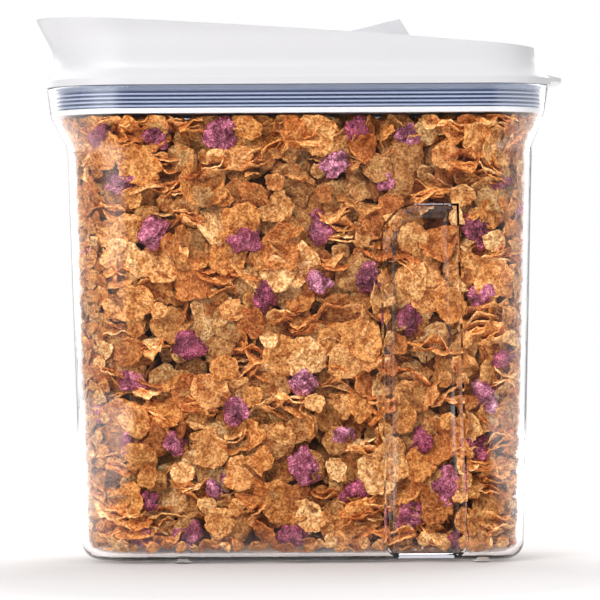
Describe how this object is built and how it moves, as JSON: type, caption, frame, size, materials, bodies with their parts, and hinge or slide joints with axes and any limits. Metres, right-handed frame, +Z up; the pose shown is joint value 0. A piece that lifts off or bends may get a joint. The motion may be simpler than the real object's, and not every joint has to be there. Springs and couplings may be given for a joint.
{
  "type": "cereal dispenser",
  "caption": "Tall clear food container with finger grooves, closed by a press-in lid whose hinged spout cover tips open with a thumb lever.",
  "frame": {"origin": "on the surface the feet stand on, midway between the spout's tip and the pull tab's tip, and midway across", "axes": "+Z up; the spout points along -X and the pull tab along +X; Y runs across, and the hinge lies along it"},
  "size_m": [0.2341, 0.1084, 0.2414],
  "materials": {
    "clear_plastic": "clear polished plastic",
    "white_plastic": "satin gloss, moulded",
    "white_plastic_inner": "satin, moulded",
    "silicone": "soft, slightly translucent",
    "pin_steel": "drawn wire"
  },
  "bodies": {
    "container": {"container": "clear_plastic"},
    "lid": {"lid_shell": "white_plastic", "lid_insert": "white_plastic_inner", "lid_gasket": "silicone", "hinge_pin_right": "pin_steel", "hinge_pin_left": "pin_steel"},
    "cover": {"spout_cover": "white_plastic", "cover_liner": "white_plastic_inner", "cover_seal": "silicone"}
  },
  "joints": [
    {"name": "lid_lift", "type": "slide", "parent": "container", "child": "lid", "axis": [0, 0, 1], "range_m": [0, 0.06]},
    {"name": "spout_cover_hinge", "type": "hinge", "parent": "lid", "child": "cover", "pos_m": [0.0238, 0, 0.22221], "axis": [0, 1, 0], "range_deg": [0, 40]}
  ]
}
